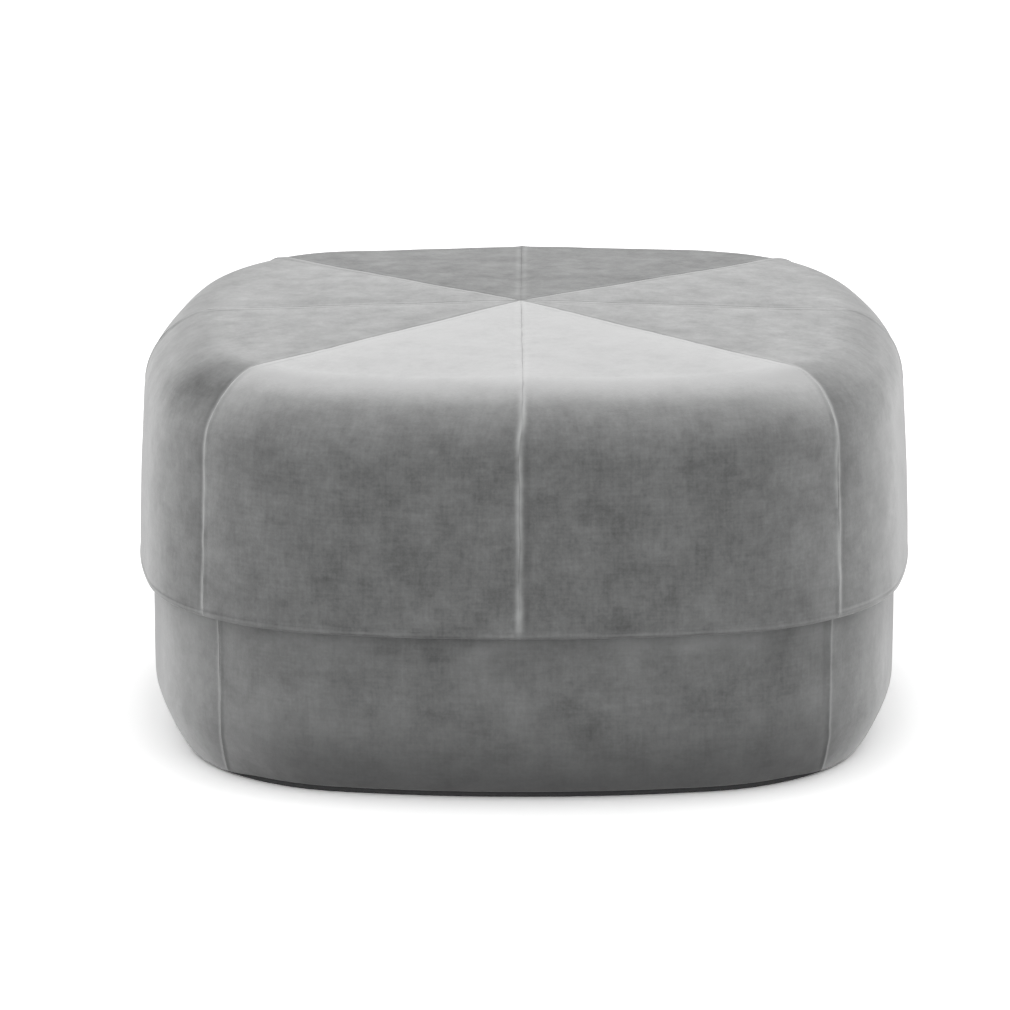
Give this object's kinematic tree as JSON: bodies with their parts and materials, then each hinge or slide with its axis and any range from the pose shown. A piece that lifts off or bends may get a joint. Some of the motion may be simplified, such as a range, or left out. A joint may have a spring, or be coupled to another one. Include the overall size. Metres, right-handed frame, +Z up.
{
  "type": "rounded-square pouf",
  "caption": "Low upholstered pouf in grey velvet: a rounded-square panelled cap with soft shoulders and a turned-under hem, standing proud of a seamed base.",
  "frame": {"origin": "on the floor, under the middle of the pouf", "axes": "+Z up, and the front faces -Y"},
  "size_m": [0.654, 0.654, 0.3504],
  "materials": {
    "velvet": "short cut velvet pile, brushed inwards on the top and up the walls, paler where it is seen edge on",
    "bottom_cloth": "matt black bottom cloth on a thin board"
  },
  "bodies": {
    "root": {"cap_panel_1": "velvet", "cap_panel_2": "velvet", "cap_panel_3": "velvet", "cap_panel_4": "velvet", "cap_panel_5": "velvet", "cap_panel_6": "velvet", "cap_panel_7": "velvet", "cap_panel_8": "velvet", "base_panel_1": "velvet", "base_panel_2": "velvet", "base_panel_3": "velvet", "base_panel_4": "velvet", "underside": "bottom_cloth"}
  },
  "joints": []
}
